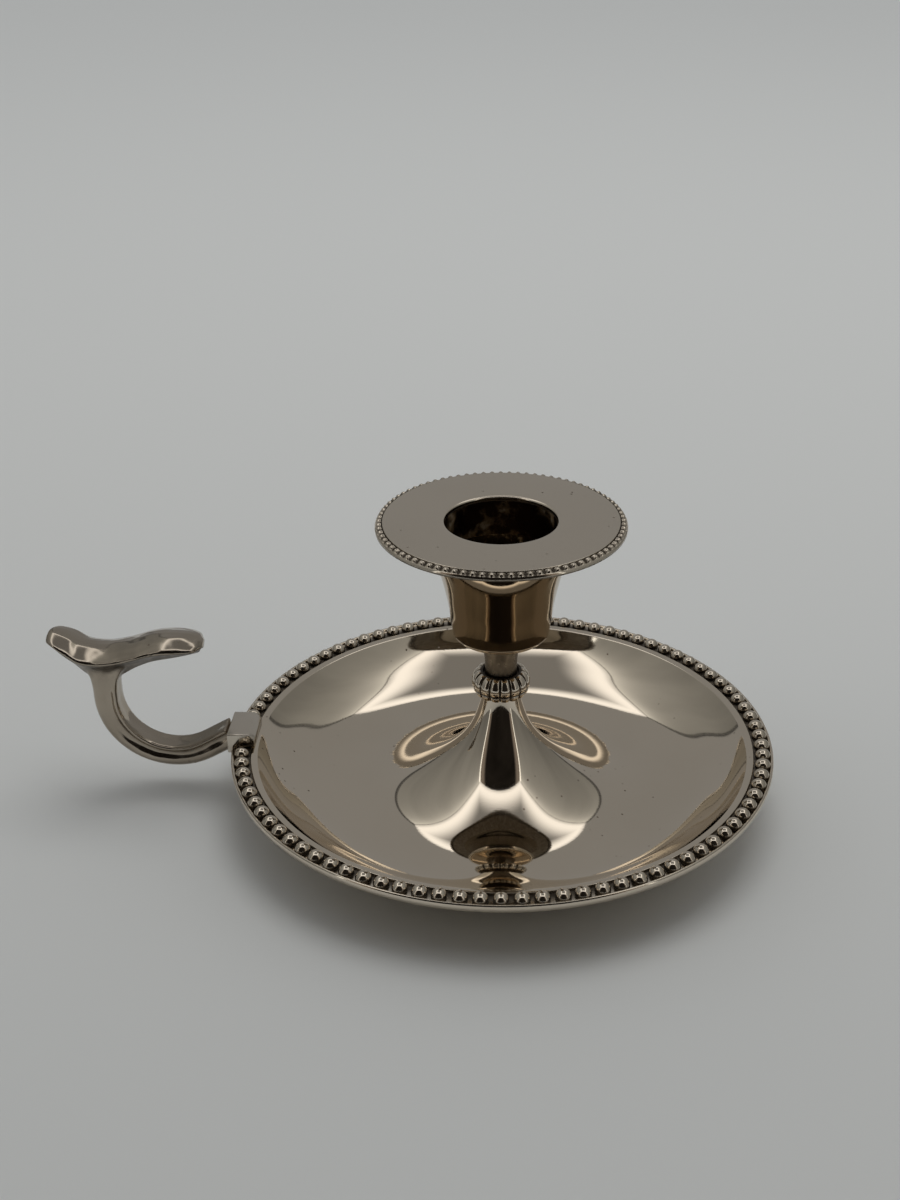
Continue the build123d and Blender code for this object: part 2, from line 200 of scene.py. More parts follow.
# %% Draw and spin the dish
floor_edge = (floor_radius, floor_height)
trumpet = smooth_line(
    ((trumpet_radius, trumpet_height), *trumpet_points, floor_edge), (1, -4.5), (1, 0), 110)
wall = smooth_line((floor_edge, *wall_points, (border_radius, border_height)), (1, 0), (1, 1.35), 90)
upper = line(trumpet, wall)
way = np.gradient(upper, axis=0)
way /= np.hypot(*way.T)[:, None]
under = upper + np.stack([way[:, 1], -way[:, 0]], -1) * metal
under = under[34:]
under[:, 1] = np.maximum(under[:, 1], 0)
border = eased([
    (border_radius, border_height), (border_radius + 0.15, border_height + 0.2, 0.3),
    (border_end_radius, border_end_height), (border_end_radius, rim_seat), (flange_radius, rim_seat),
    (flange_radius, flange_low),
    (border_end_radius, flange_low), tuple(under[-1])], 0.12)
inside = np.array([(rod_hole, under[0][1]), (rod_hole, trumpet_height)])
dish = turned("dish_and_trumpet", line(upper, border, under[::-1], inside), 384)
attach(dish, "root")
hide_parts("tray_dish")
print("dish", len(dish.data.vertices), "points, hollow starts at", under[0].round(2).tolist())

# %% [markdown]
# ## The beaded rim
# Beaded edging is rolled as a strip: small domes in a shallow channel, with a plain lip outside. Here
# the channel is turned and the domes are set on it one by one, each a hair off its neighbours in size,
# because the roll was cut by hand. The collar of the handle covers three of them.

# %% Turn the channel of the rim
channel_radius = border_end_radius + 0.05
channel = eased([
    (channel_radius, rim_seat), (channel_radius, rim_top - 0.1, 0.08), (50.0, rim_top - 0.05, 0.3),
    (52.2, rim_top - 0.05, 0.1), (52.5, rim_top + 0.42, 0.1), (52.85, rim_top + 0.5, 0.16),
    (rim_radius, rim_top + 0.2, 0.25), (rim_radius, flange_low + 0.9, 0.5),
    (rim_radius - 0.4, flange_low, 0.1), (flange_radius + 0.02, flange_low),
    (flange_radius + 0.02, rim_seat), (border_end_radius + 0.1, rim_seat)], 0.15)
radii, heights = channel.T
dark = ((radii > border_end_radius) & (radii < 52.1) & (heights > rim_seat + 0.1)) * 0.8
rim = turned("rim_channel", channel, 384, dark)
print("rim channel", len(channel), "points in its outline")

# %% Set the beads
bead_count, bead_circle, bead_middle = 90, 51.0, 11.65
bead_size = np.array((1.5, 1.42, 1.35))
dome_up = np.radians(np.linspace(-22, 90, 12))
dome_round = np.radians(np.arange(0, 360, 15))


def dome(turn, size):
    level, around = np.meshgrid(dome_up, dome_round, indexing="ij")
    x = size[0] * np.cos(level) * np.cos(around) + bead_circle
    y = size[1] * np.cos(level) * np.sin(around)
    z = size[2] * np.sin(level) + bead_middle
    c, s = cos(turn), sin(turn)
    return np.stack([x * c - y * s, x * s + y * c, z], -1).reshape(-1, 3)


points, faces, tarnish = [], [], []
for index in range(2, bead_count - 1):
    turn = pi + index * 2 * pi / bead_count
    odd = 1 + 0.022 * sin(index * 2.4) + 0.014 * sin(index * 5.9)
    base = len(points) * len(dome_up) * len(dome_round)
    points.append(dome(turn + 0.0008 * sin(index * 3.7), bead_size * (odd, odd, 1)))
    quads = grid_faces(len(dome_up), len(dome_round), base)
    faces += quads[: (len(dome_up) - 1) * len(dome_round)].tolist()
    tarnish.append(np.repeat(np.clip(1 - np.degrees(dome_up) / 26, 0, 1), len(dome_round)))
beads = bpy.data.meshes.new("rim_beads")
beads.from_pydata((np.concatenate(points) * mm).tolist(), [], faces)
keep_tarnish(beads, np.concatenate(tarnish))
beads = finish_mesh("rim_beads", beads, 60)
for piece in (rim, beads):
    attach(piece, "root")
    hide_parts("rim_beading")
print("beads", len(points))

# %% [markdown]
# ## The knop
# A gadrooned knop is cast, then chased: two rows of lobes, the upper row tall and the lower row short,
# with a fine ledge between them. The lobes are a swelling added to a turned belly, high in the middle
# of each lobe and nothing in the grooves, and the grooves keep their tarnish.

# %% Model the knop
lobes, lobe_steps = 16, 20
knop_middle, belly_out, belly_up = 25.15, 2.4, 2.65
tall_middle, tall_reach, tall_swell = 24.5, 40, 0.46
short_middle, short_reach, short_swell = -35, 16, 0.40
rise = np.radians(np.linspace(-54, 72, 100))
belly = np.stack([knop_core + belly_out * np.cos(rise), knop_middle + belly_up * np.sin(rise)], -1)
shift = (np.arange(lobes * lobe_steps) / lobe_steps) % 1 - 0.5
tall = (np.degrees(rise) - tall_middle) / tall_reach
short = (np.degrees(rise) - short_middle) / short_reach


def boss(across, along):
    """A swelling with steep sides and a rounded top."""
    sides = np.clip(1 - np.abs(across / 0.44) ** 2.6, 0, 1)[:, None] ** 0.5
    return sides * np.clip(1 - np.abs(along) ** 3.0, 0, 1)[None, :] ** 0.45


swelling = tall_swell * boss(shift, tall) + short_swell * boss(shift, short)
out_way = np.stack([np.cos(rise), np.sin(rise)], -1)
swell = swelling[..., None] * out_way[None]
outline = np.concatenate([
    [(rod_hole, knop_low), (3.0, knop_low + 0.02)], belly,
    [(3.5, knop_high - 0.1), (3.45, knop_high - 0.3), (3.4, neck_low), (rod_hole, neck_low)]])
swell = np.pad(swell, ((0, 0), (2, 4), (0, 0)))
groove = np.pad(1 - np.clip(swelling / 0.3, 0, 1), ((0, 0), (2, 4)), constant_values=1)
knop = skin("gadrooned_knop", spun(outline, lobes * lobe_steps, swell), groove, 60)
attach(knop, "root")
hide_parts("stem_knop")
print("knop", len(knop.data.vertices), "points")

# %% [markdown]
# ## The neck and the candle cup
# The neck is a short tube that widens a little towards the cup. The cup is spun from sheet: a wall that
# leaves a low round shoulder almost upright and flares out towards its lip. How a wall leans decides
# what it mirrors, so its curve runs through measured points. Both pieces are turned, and the lip has
# its real thickness.

# %% Turn the neck and the cup
neck_side = smooth_line(((neck_radius, neck_low), *neck_points), (0, 1), (0.25, 1), 40)
# Painted shade: the whole neck carries a darkness of 0.7, standing in for the shade and dark reflections
# it shows.
neck = turned("neck", line([(rod_hole, neck_low)], neck_side, [(rod_hole, cup_low)]), 160, 0.7)
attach(neck, "root")
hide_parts("neck_tube")
shoulder = (cup_shoulder_radius, cup_shoulder)
outer = line(
    smooth_line(((cup_foot_radius, cup_low), shoulder), (1, 0), cup_taper, 24),
    smooth_line((shoulder, *cup_points, (cup_radius, cup_high - 0.25)), cup_taper, cup_flare, 60))
way = np.gradient(outer, axis=0)
way /= np.hypot(*way.T)[:, None]
inner = outer + np.stack([-way[:, 1], way[:, 0]], -1) * cup_wall
lip = eased([
    tuple(outer[-1]), (cup_radius + 0.1, cup_high), (inner[-1][0], cup_high), tuple(inner[-1])], 0.2)
floor = np.array([(rod_hole, cup_low + cup_wall), (rod_hole, cup_low)])
cup = turned("candle_cup", line(outer, lip, inner[::-1], floor), 256)
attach(cup, "root")
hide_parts("socket_cup")
print("cup", len(cup.data.vertices), "points")

# %% [markdown]
# ## The lift-off nozzle
# The drip disc, its sleeve and its milled edge come off together to be cleaned of wax, so they ride on
# the nozzle body. The disc is flat with a rolled mouth. Its edge is knurled: small rounded teeth between
# a fine groove and a plain lip. The teeth are the same grid as the lip, pressed down between crests.

# %% Turn the disc and its sleeve
mouth = line(eased([
    (bore_radius, disc_low), (bore_radius, disc_high - 0.1, 0.8), (mouth_radius + 0.4, disc_high, 0.5),
    (disc_radius - 0.05, disc_high, 0.1), (disc_radius, disc_high - 0.3), (disc_radius, disc_low),
    (bore_radius, disc_low)], 0.1, 8))
# Painted shade: the underside of the disc is darkened.
disc = turned("drip_disc", mouth, 256, (mouth[:, 1] < disc_low + 0.05) * 0.75)
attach(disc, "nozzle")
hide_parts("nozzle_disc")
sleeve = turned("sleeve", eased([
    (bore_radius, disc_low), (bore_radius, sleeve_low), (sleeve_foot_radius, sleeve_low),
    (sleeve_radius, disc_low), (bore_radius, disc_low)], 0.1), 192)
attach(sleeve, "nozzle")
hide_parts("nozzle_sleeve")
print("disc and sleeve turned")

# %% Mill the edge of the disc
teeth, tooth_steps, tooth_depth = 84, 14, 0.55
crest_radius, crest_half = 22.64, 0.52
section = line(eased([
    (disc_radius + 0.01, disc_low - 0.4), (disc_radius + 0.01, disc_high - 0.3, 0.05),
    (22.12, disc_high - 0.28, 0.05), (22.2, disc_high - 0.06, 0.06), (22.55, disc_high, 0.12),
    (22.9, disc_high - 0.12, 0.12), (23.08, disc_high - 0.5, 0.1), (23.2, disc_high - 0.62, 0.08),
    (edge_radius, disc_high - 0.95, 0.2), (23.3, disc_low - 0.38, 0.15), (23.0, disc_low - 0.45, 0.1),
    (disc_radius + 0.01, disc_low - 0.4)], 0.1))
radii, heights = section.T
crest = np.clip(1 - np.abs((radii - crest_radius) / crest_half) ** 3, 0, 1)
crest *= heights > disc_high - tooth_depth
tooth = np.abs(np.sin(np.arange(teeth * tooth_steps) / tooth_steps * pi)) ** 1.6
gaps = (1 - tooth)[:, None] * crest[None, :]
swell = np.stack([-0.25 * tooth_depth * gaps, -tooth_depth * gaps], -1)
# Gaps between the teeth and the fine groove keep tarnish; the underside is darkened as painted shade.
grime_and_shade = np.clip(gaps * 1.2 + (radii < 22.2) + (heights < disc_low) * 0.7, 0, 1)
milled = skin("milled_edge", spun(section, teeth * tooth_steps, swell), grime_and_shade, 60)
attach(milled, "nozzle")
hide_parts("nozzle_beading")
print("milled edge", teeth, "teeth")

# %% [markdown]
# ## The handle
# The handle is one casting: a square collar that grips the rim, an arm that curls round a finger, and a
# saddle for the thumb. The arm is not round. A hollow runs along each side, between a narrow roll on the
# inside of the curl and a wide roll on the outside.

# %% Cut the collar
def extruded(name, outline, half, bevel):
    work = bmesh.new()
    near = [work.verts.new((x * mm, -half * mm, z * mm)) for x, z in outline]
    far = [work.verts.new((x * mm, half * mm, z * mm)) for x, z in outline]
    work.faces.new(near)
    work.faces.new(far[::-1])
    for k in range(len(outline)):
        n = (k + 1) % len(outline)
        work.faces.new((near[k], far[k], far[n], near[n]))
    bmesh.ops.bevel(work, geom=work.edges[:], offset=bevel * mm, segments=3, profile=0.5, affect="EDGES")
    mesh = bpy.data.meshes.new(name)
    work.to_mesh(mesh)
    work.free()
    return finish_mesh(name, mesh, 70)


jaw_height = border_end_height - 0.05
collar = extruded("collar", [
    (-collar_outer, collar_low), (-collar_outer, collar_high),
    (-collar_inner - collar_slant, collar_high), (-collar_inner, collar_high - collar_slant),
    (-collar_inner, jaw_height), (-collar_jaw, jaw_height), (-collar_jaw, collar_low)],
    collar_half, 0.22)
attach(collar, "root")
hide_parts("handle_collar")
print("collar", len(collar.data.vertices), "points")

# %% Shape the arm and the thumb piece
def tube(sections):
    """A closed skin over rings of points, with its two ends drawn to a point each."""
    rings = np.array(sections)
    ends = rings.mean(axis=1)
    count, around = rings.shape[:2]
    faces = grid_faces(count, around)[: (count - 1) * around].tolist()
    first, last = count * around, count * around + 1
    for k in range(around):
        n = (k + 1) % around
        faces.append((first, n, k))
        faces.append((last, (count - 1) * around + k, (count - 1) * around + n))
    return np.concatenate([rings.reshape(-1, 3), ends[:1], ends[-1:]]), faces


half_arm = np.array([
    (0, -0.98), (0.5, -1), (0.80, -0.98), (0.94, -0.92), (1.0, -0.82), (0.97, -0.72), (0.84, -0.62),
    (0.75, -0.46), (0.73, -0.28), (0.78, -0.10), (0.88, 0.08), (0.93, 0.28), (0.90, 0.52), (0.77, 0.75),
    (0.54, 0.91), (0.28, 0.98), (0, 1)])
arm_shape = np.concatenate([half_arm, half_arm[-2:0:-1] * (-1, 1)])
first_angle = arm_lean - pi / 2
arm_thick, arm_half_wide = 4.9, 2.7
arm_places = [(53.3, 12.15, first_angle, arm_thick), (56.0, 10.59, first_angle, arm_thick)]
for share in np.linspace(0, 1, 26):
    angle = first_angle + (-pi - first_angle) * share
    place = (loop_middle - loop_radius * cos(angle), loop_height + loop_radius * sin(angle))
    arm_places.append((*place, angle, arm_thick + 0.3 * share))
arm_places += [
    (77.9, 22.0, -pi, 5.25), (77.9, 23.5, -pi, 5.5), (77.85, 25.0, -pi, 6.1), (77.7, 26.5, -pi, 7.4),
    (77.5, 28.0, -pi, 9.6)]
arm_rings = []
for place, height, angle, thick in arm_places:
    away = arm_shape[:, 1] * thick / 2
    arm_rings.append(np.stack([
        -place + away * cos(angle), arm_shape[:, 0] * arm_half_wide, height + away * sin(angle)], -1))
arm_points, arm_faces = tube(arm_rings)
print("arm", len(arm_points), "points before blending")

# %% [markdown]
# The thumb piece is a leaf that dips in the middle like a saddle. Each row below is one station along
# it: how far along it lies, and, as shares, its half width, the rise of its crown and the depth of its
# keel. The numbers between the stations come from the same smooth line as the dish.

# %% Stations of the thumb piece
stations = np.array([
    (0.000, 0.30, 0.17, 0.24), (0.025, 0.62, 0.31, 0.50), (0.070, 0.85, 0.39, 0.67),
    (0.150, 0.96, 0.44, 0.83), (0.270, 1.00, 0.42, 0.94), (0.420, 1.00, 0.23, 0.98),
    (0.550, 1.00, 0.06, 1.17), (0.640, 1.00, 0.00, 1.23), (0.730, 1.00, 0.03, 1.20),
    (0.820, 0.98, 0.23, 1.08), (0.900, 0.88, 0.42, 0.95), (0.955, 0.71, 0.48, 0.73),
    (0.985, 0.50, 0.43, 0.50), (1.000, 0.24, 0.30, 0.24)])
where = np.concatenate([np.linspace(0, 0.07, 9), np.linspace(0.09, 0.93, 44), np.linspace(0.94, 1, 9)])
fine = []
for k in (1, 2, 3):
    end = 8 if k == 1 else 2
    run = smooth_line(stations[:, (0, k)], (1, end), (1, -end), 800)
    fine.append(np.interp(where, run[:, 0], run[:, 1]))
top_shares = ((0, 0), (0.3, 0.10), (0.55, 0.33), (0.75, 0.60), (0.88, 0.82))
rim_shares = ((0.955, 0.05), (0.99, 0.25), (1.0, 0.5), (0.98, 0.75), (0.93, 0.95))
crown_drop, rim_drop = 1.6, 0.9
leaf_rings = []
for share, wide, crown, keel in zip(where, *fine):
    top, half = thumb_height + thumb_depth * crown, thumb_half * wide
    edge, low = top - crown_drop * wide, top - thumb_depth * keel
    rim_low = edge - rim_drop * wide
    side = [(half * a, top - crown_drop * wide * b) for a, b in top_shares]
    side += [(half * a, edge - rim_drop * wide * b) for a, b in rim_shares]
    for t in np.linspace(0.08, 0.94, 9):
        side.append((half * 0.9 * (1 - t) ** 0.9, rim_low + (low - rim_low) * t**1.35))
    side.append((0, low))
    ring = side + [(-a, b) for a, b in side[-2:0:-1]]
    leaf_rings.append([(-thumb_start - thumb_length * share, a, b) for a, b in ring])
leaf_points, leaf_faces = tube(leaf_rings)
print("leaf", len(leaf_points), "points before blending")

# %% [markdown]
# A casting has no seams, so the arm and the leaf are melted into one skin: a fine voxel remesh joins
# them, and a few rounds of smoothing leave the soft hollow that a finger feels under the thumb piece.

# %% Melt the arm and the leaf together
handle = bpy.data.meshes.new("handle")
handle.from_pydata(
    (np.concatenate([arm_points, leaf_points]) * mm).tolist(), [],
    [tuple(f) for f in arm_faces] + [tuple(v + len(arm_points) for v in f) for f in leaf_faces])
handle = finish_mesh("handle", handle, 180)
def settle(piece):
    """Turn the piece's modifiers into its own mesh."""
    bpy.context.view_layer.update()
    solved = piece.evaluated_get(bpy.context.evaluated_depsgraph_get())
    mesh = bpy.data.meshes.new_from_object(solved)
    piece.modifiers.clear()
    piece.data = mesh


def between(value, low, high):
    """A value's place between two others, held from 0 to 1."""
    return min(max((value - low) / (high - low), 0), 1)


melt = handle.modifiers.new("melt", "REMESH")
melt.mode = "VOXEL"
melt.voxel_size = 0.2 * mm
melt.use_smooth_shade = True
soften = handle.modifiers.new("soften", "SMOOTH")
soften.factor, soften.iterations = 0.5, 14
settle(handle)
web = handle.vertex_groups.new(name="web")
for v in handle.data.vertices:
    height = v.co.z / mm
    web.add([v.index], between(height, 21, 23) * between(height, 30, 28), "REPLACE")
hollow = handle.modifiers.new("hollow", "SMOOTH")
hollow.factor, hollow.iterations, hollow.vertex_group = 0.5, 60, "web"
settle(handle)
# Downward faces under the thumb piece are darkened: partly tarnish in the web, partly painted shade.
shade_and_tarnish_under_leaf = []
for v in handle.data.vertices:
    faces_down = min(max(0.15 - v.normal.z * 1.1, 0), 1)
    shade_and_tarnish_under_leaf.append(0.75 * between(v.co.z / mm, 22, 26) * faces_down)
keep_tarnish(handle.data, shade_and_tarnish_under_leaf)
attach(handle, "root")
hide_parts("handle_arm", "thumb_piece")
print("handle", len(handle.data.vertices), "points")

# %% [markdown]
# ## Finishes
# A finish is a small sum: a bright metal, a little less bright where it is tarnished, a little rougher
# where it is worn. The class below lets those sums be written as ordinary arithmetic. Every sign adds
# one Math node, and any other node comes from one method.

# %% Sums on sockets
class Wire:
    """A value on its way through a finish."""

    def __init__(self, bench, socket):
        self.bench, self.socket = bench, socket

    def maths(self, operation, *values):
        node = self.bench.tree.nodes.new("ShaderNodeMath")
        node.operation = operation
        for place, value in enumerate(values):
            self.bench.plug(node.inputs[place], value)
        return Wire(self.bench, node.outputs[0])

    def __add__(self, other):
        return self.maths("ADD", self, other)

    def __sub__(self, other):
        return self.maths("SUBTRACT", self, other)

    def __rsub__(self, other):
        return self.maths("SUBTRACT", other, self)

    def __mul__(self, other):
        return self.maths("MULTIPLY", self, other)

    def __truediv__(self, other):
        return self.maths("DIVIDE", self, other)

    def __pow__(self, other):
        return self.maths("POWER", self, other)

    __radd__ = __add__
    __rmul__ = __mul__

    def at_least(self, other):
        return self.maths("MAXIMUM", self, other)

    def at_most(self, other):
        return self.maths("MINIMUM", self, other)

    def size(self):
        return self.maths("ABSOLUTE", self)

    def step(self, low, high):
        """0 below low, 1 above high, and a soft S between them."""
        return self.bench.add(
            "ShaderNodeMapRange", {"interpolation_type": "SMOOTHSTEP"},
            {"Value": self, "From Min": low, "From Max": high})

# %% The bench that finishes are made on
class Bench:
    """The node tree of one finish."""

    def __init__(self, tree):
        self.tree = tree

    def plug(self, socket, value):
        if isinstance(value, Wire):
            self.tree.links.new(value.socket, socket)
        elif isinstance(value, tuple) and socket.type == "RGBA" and len(value) == 3:
            socket.default_value = (*value, 1)
        else:
            socket.default_value = value

    def add(self, kind, settings=None, sockets=None, out=0):
        """One node: its type, its settings, then the values or links of its sockets."""
        node = self.tree.nodes.new(kind)
        for name, value in (settings or {}).items():
            setattr(node, name, value)
        for name, value in (sockets or {}).items():
            self.plug(node.inputs[name], value)
        return Wire(self, node.outputs[out])

    def mix(self, share, one, two):
        """A colour between two colours."""
        node = self.tree.nodes.new("ShaderNodeMix")
        node.data_type = "RGBA"
        self.plug(node.inputs["Factor"], share)
        self.plug([s for s in node.inputs if s.name == "A" and s.type == "RGBA"][0], one)
        self.plug([s for s in node.inputs if s.name == "B" and s.type == "RGBA"][0], two)
        return Wire(self, [s for s in node.outputs if s.type == "RGBA"][0])

    def parts(self, vector):
        return [self.add("ShaderNodeSeparateXYZ", None, {"Vector": vector}, axis) for axis in "XYZ"]

    def noise(self, place, scale, detail=3.0, rough=0.5):
        return self.add("ShaderNodeTexNoise", None, {
            "Vector": place, "Scale": scale, "Detail": detail, "Roughness": rough})


def material(name):
    m = bpy.data.materials.new(name)
    m.use_nodes = True
    m.node_tree.nodes.clear()
    return m, Bench(m.node_tree)


def object_place(bench):
    """Where a point lies on its own object, in metres."""
    return bench.add("ShaderNodeTexCoord", out="Object")


def output(bench, shader):
    node = bench.tree.nodes.new("ShaderNodeOutputMaterial")
    bench.plug(node.inputs["Surface"], shader)


print("the bench can", [name for name in vars(Bench) if not name.startswith("_")])

# %% [markdown]
# ## Silver plate
# Old silver plate is warm, a little darker than new silver, and never quite even: buffing leaves faint
# clouds, and thousands of hair-thin scratches that only show next to a bright reflection. The clouds
# come from one noise, the scratches from a stretched one that feeds a very shallow bump. Small pits
# come in patches, tarnish and painted shade follow the darkness kept on the points, and the cast handle
# has a slow ripple, because a casting is filed by hand and never as even as a turned piece. The cup and
# the handle get a darker plate than the dish, as painted shade.

# %% The plate finish
def plate(name, bright, dull, rough, clouds=0.35, ripple=0.0, pits=0.0, tarnish=0.0):
    m, b = material(name)
    place = object_place(b)
    cloud = b.noise(place, 46.0, 4.0).step(0.35, 0.72)
    colour = b.mix(cloud * clouds, bright, dull)
    roughness = cloud * (rough * 0.6) + rough
    if pits:
        speck = b.add("ShaderNodeTexVoronoi", None, {"Vector": place, "Scale": 420.0})
        patch = b.noise(place, 60.0, 2.0).step(0.52, 0.62)
        pit = (1 - speck.step(0.05, 0.13)) * patch * pits
        colour = b.mix(pit, colour, (0.10, 0.06, 0.04))
        roughness = roughness + pit * 0.35
    if tarnish:
        # The attribute holds tarnish in hollows and painted shade on undersides, the neck and the
        # handle.
        dark = b.add("ShaderNodeAttribute", {"attribute_name": "tarnish"}, out="Fac")
        uneven = b.noise(place, 900.0, 2.0) * 0.5 - 0.35
        grime_and_shade = (dark * 1.25 + uneven).at_least(0).at_most(1) * tarnish
        colour = b.mix(grime_and_shade, colour, (0.045, 0.035, 0.026))
        roughness = roughness + grime_and_shade * 0.4
    stretch = b.add("ShaderNodeMapping", None, {
        "Vector": place, "Scale": (1.0, 5.0, 1.0), "Rotation": (0.3, 0.2, 0.6)})
    hair = b.noise(stretch, 900.0, 2.0)
    height = (hair * 0.3 + b.noise(place, 55.0, 1.0)) * 0.02
    if ripple:
        height = height + b.noise(place, 120.0, 1.5) * ripple
    bump = b.add("ShaderNodeBump", None, {"Strength": 1.0, "Distance": 0.0002, "Height": height})
    shader = b.add("ShaderNodeBsdfPrincipled", None, {
        "Base Color": colour, "Metallic": 1.0, "Roughness": roughness, "Normal": bump})
    output(b, shader)
    return m


dress = {
    "dish": plate("polished_plate", (0.74, 0.655, 0.54), (0.66, 0.58, 0.47), 0.035, pits=0.8),
    # Painted shade: the cup's plate is darker than the dish's, and its darkening setting also darkens
    # the neck.
    "cup": plate("shaded_cup_plate", (0.59, 0.50, 0.385), (0.49, 0.40, 0.30), 0.045, tarnish=0.8),
    "disc": plate("disc_plate", (0.72, 0.64, 0.53), (0.64, 0.57, 0.47), 0.13, pits=1.0, tarnish=0.9),
    "beads": plate("beaded_plate", (0.74, 0.66, 0.55), (0.60, 0.52, 0.41), 0.07, tarnish=0.95),
    # Painted shade: the handle's plate is darker than the dish's, standing in for the shadow on it and
    # the shadowed table it mirrors.
    "handle": plate(
        "shaded_cast_handle", (0.47, 0.41, 0.335), (0.34, 0.29, 0.23), 0.12,
        clouds=0.9, ripple=7.0, pits=0.6, tarnish=0.9),
    "collar": plate("collar_plate", (0.74, 0.68, 0.59), (0.58, 0.52, 0.44), 0.1, clouds=0.7, ripple=3.0),
}
print("finishes", list(dress))

# %% [markdown]
# ## The stained bore and the steel screw
# Candle smoke and wax leave the inside of the bore dark brown with lighter crusts. The rod, washer and
# nut are plain turned steel, brushed by the tool marks that run round them.

# %% The bore and the steel
m, b = material("stained_bore")
place = object_place(b)
crust = b.noise(place, 260.0, 5.0, 0.6).step(0.5, 0.7)
spots = b.noise(place, 700.0, 3.0).step(0.5, 0.66)
stain = b.mix(crust * 0.9, (0.045, 0.028, 0.016), (0.34, 0.24, 0.13))
stain = b.mix(spots * crust, stain, (0.42, 0.36, 0.26))
output(b, b.add("ShaderNodeBsdfPrincipled", None, {
    "Base Color": stain, "Metallic": 1 - crust * 0.5, "Roughness": 0.35 + crust * 0.3}))
dress["bore"] = m

m, b = material("turned_steel")
place = object_place(b)
rings = b.add("ShaderNodeTexWave", {"bands_direction": "Z"}, {
    "Vector": place, "Scale": 900.0, "Distortion": 2.0})
wear = b.noise(place, 300.0, 3.0).step(0.4, 0.7)
output(b, b.add("ShaderNodeBsdfPrincipled", None, {
    "Base Color": b.mix(wear, (0.50, 0.49, 0.46), (0.34, 0.32, 0.29)), "Metallic": 1.0,
    "Roughness": 0.28 + wear * 0.15,
    "Normal": b.add("ShaderNodeBump", None, {"Strength": 0.15, "Distance": 0.0001, "Height": rings})}))
dress["steel"] = m

# %% [markdown]
# Each piece now gets its finish.

# %% Dress the pieces
wearing = {
    dish: ("dish", "silver_plate"), rim: ("beads", "silver_beading"), beads: ("beads", "silver_beading"),
    knop: ("beads", "silver_beading"), neck: ("cup", "silver_plate"), cup: ("cup", "silver_plate"),
    disc: ("disc", "silver_plate"), sleeve: ("bore", "silver_plate"),
    milled: ("beads", "silver_beading"), collar: ("collar", "handle_plate"),
    handle: ("handle", "handle_plate")}
for piece, (finish, slot_name) in wearing.items():
    piece.data.materials.clear()
    piece.data.materials.append(dress[finish])
for node in ("tie_rod", "base_washer", "base_nut"):
    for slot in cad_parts[node].material_slots:
        slot.material = dress["steel"]
print("dressed", len(wearing), "pieces and 3 solids")

# %% [markdown]
# ## The studio
# A mirror is lit by what it sees. Product photographers put small polished things into a light tent: a
# box of pale cloth with a lamp frame in its roof and one open side for the camera. The tent below is
# made of glowing cards that only reflections can see, so it never hides the object from any side. One
# more card stands for the dim room in front of the tent. It also keeps some light off the table, as a
# photographer who bends over it does. The table is a pale matt floor, and the lamp makes a soft shadow.

# %% The table
def square(name, corners):
    mesh = bpy.data.meshes.new(name)
    mesh.from_pydata([tuple(v * mm for v in c) for c in corners], [], [tuple(range(len(corners)))])
    thing = bpy.data.objects.new(name, mesh)
    bpy.context.scene.collection.objects.link(thing)
    return thing


far = 4000
table = square("table", [(-far, -far, 0), (far, -far, 0), (far, far, 0), (-far, far, 0)])
m, b = material("pale_table")
output(b, b.add("ShaderNodeBsdfPrincipled", None, {
    "Base Color": (0.70, 0.71, 0.69), "Roughness": 0.8, "Specular IOR Level": 0.0}))
table.data.materials.append(m)
print("table", 2 * far * mm, "m across")

# %% The cards of the tent
tent_side, tent_front, tent_back, tent_top = 200, -152, 260, 400


def card(name, corners, shader):
    thing = square(name, corners)
    m, b = material(name)
    glow = shader(b, object_place(b))
    output(b, b.add("ShaderNodeEmission", None, {"Color": glow, "Strength": 1.0}))
    thing.data.materials.append(m)
    thing.visible_camera = thing.visible_shadow = False
    thing.visible_diffuse = name == "card_room"
    return thing


def grey(b, value, tone=(1.0, 1.0, 1.0)):
    """A number as a grey, or as a tone, for a card's glow."""
    return b.mix(value * 0.25, (0.0, 0.0, 0.0), tuple(4 * t for t in tone))


def roof(b, place):
    """A dim plate in the middle, and a broad soft lamp frame round it."""
    x, y = b.parts(place)[:2]
    side = 1 - x.size() / (tent_side * mm)
    depth = (y - tent_front * mm) / ((tent_back - tent_front) * mm)
    ends = depth.at_most(1 - depth) * 2
    inward = side.at_most(ends)
    frame_light = (1 - inward.step(0.12, 0.52)) * (inward.step(0.0, 0.09) * 0.45 + 0.55)
    return grey(b, frame_light * 1.1 + 0.22, (1.0, 0.99, 0.98))


def side_wall(b, place):
    y, z = b.parts(place)[1:]
    up = z / (tent_top * mm)
    tall = b.add("ShaderNodeMapping", None, {"Vector": place, "Scale": (1.0, 1.0, 0.25)})
    folds = b.noise(tall, 14.0, 2.0)
    glow = up * 0.22 + 0.15 + up**8 * 0.5 + (folds - 0.5) * 0.12
    corner = 1 - ((tent_back - 4) * mm - y).size().step(0.0, 0.005)
    seam = corner.at_least(1 - ((tent_top - 4) * mm - z).size().step(0.0, 0.006))
    front = 1 - (y - (tent_front + 6) * mm).step(0.0, 0.012)
    return grey(b, glow * (1 - seam * 0.8) + front * 1.1, (1.0, 1.0, 0.96))


def back_wall(b, place):
    x = b.parts(place)[0]
    corner = (x.size() - (tent_side - 9) * mm).step(0.0, 0.006)
    return grey(b, (1 - corner * 0.8) * 0.265)


def dark_room(b, place):
    x = b.parts(place)[0]
    lit_walls = x.size().step(0.285, 0.37) * 0.2
    return grey(b, b.noise(place, 3.0, 2.0) * 0.02 + 0.002 + lit_walls, (1.0, 0.86, 0.74))


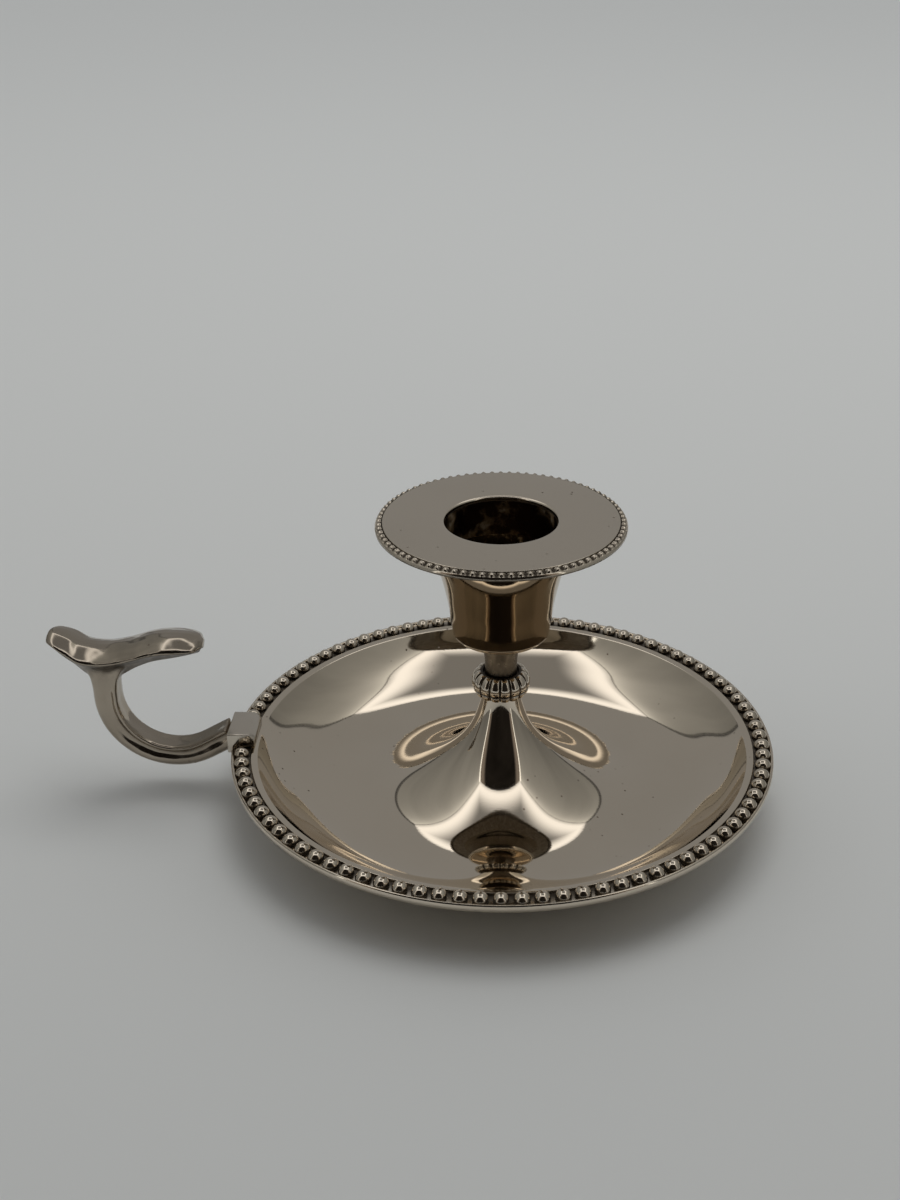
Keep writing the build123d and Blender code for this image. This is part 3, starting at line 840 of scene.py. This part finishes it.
side, front, back, top = tent_side, tent_front, tent_back, tent_top
card("card_roof", [(-side, front, top), (side, front, top), (side, back, top), (-side, back, top)], roof)
for name, x in (("card_left", -side), ("card_right", side)):
    card(name, [(x, front, 0), (x, back, 0), (x, back, top), (x, front, top)], side_wall)
card("card_back", [(-side, back, 0), (side, back, 0), (side, back, top), (-side, back, top)], back_wall)
room_side, room_front, room_top = 700, -340, 1100
card("card_room", [
    (-room_side, room_front, 0), (room_side, room_front, 0), (room_side, room_front, room_top),
    (-room_side, room_front, room_top)], dark_room)
print("tent", 2 * tent_side, "by", tent_back - tent_front, "by", tent_top, "mm")

# %% Lamp and sky
lamp = bpy.data.lights.new("soft_lamp", "AREA")
lamp.shape, lamp.size, lamp.size_y, lamp.energy = "RECTANGLE", 0.6, 0.6, 1.85
lamp_object = bpy.data.objects.new("soft_lamp", lamp)
lamp_place = Vector((0.12, 0.25, 0.9))
lamp_object.location = lamp_place
lamp_object.rotation_euler = lamp_place.to_track_quat("Z", "Y").to_euler()
lamp_object.visible_glossy = False
bpy.context.scene.collection.objects.link(lamp_object)
world = bpy.data.worlds.new("pale_sky")
bpy.context.scene.world = world
world.use_nodes = True
world.node_tree.nodes.clear()
b = Bench(world.node_tree)
looked_at = b.add("ShaderNodeLightPath", out="Is Camera Ray")
mirrored = b.add("ShaderNodeLightPath", out="Is Glossy Ray")
seen = looked_at.at_least(mirrored)
sky = b.add("ShaderNodeBackground", None, {"Color": (0.97, 0.98, 1.0), "Strength": seen * 0.28 + 0.575})
b.plug(world.node_tree.nodes.new("ShaderNodeOutputWorld").inputs["Surface"], sky)
print("studio stands")

# %% [markdown]
# ## The camera
# The camera stands in front of the tent's open side, a hand's length above the cup, and looks down on
# the dish. Its place and lens were worked out from the ring of beads and the edge of the disc.

# %% Camera
ahead = Vector((-0.0611, 0.8871, -0.4576)).normalized()
right = ahead.cross(Vector((0, 0, 1))).normalized()
up = right.cross(ahead)
roll = radians(-0.874)
focal_pixels, image_height = 1653.3, 1200
right, up = right * cos(roll) + up * sin(roll), up * cos(roll) - right * sin(roll)
camera_data = bpy.data.cameras.new("camera")
camera_data.sensor_width = 36
camera_data.lens = focal_pixels / image_height * camera_data.sensor_width
camera_data.clip_start = 0.01
camera = bpy.data.objects.new("camera", camera_data)
camera.matrix_world = Matrix((
    (right.x, up.x, -ahead.x, 9.46 * mm), (right.y, up.y, -ahead.y, -277.7 * mm),
    (right.z, up.z, -ahead.z, 185.85 * mm), (0, 0, 0, 1)))
bpy.context.scene.collection.objects.link(camera)
bpy.context.scene.camera = camera
bpy.context.scene.view_settings.view_transform = "Standard"
print("camera looks down by", round(degrees(atan2(-ahead.z, ahead.y)), 1), "degrees")
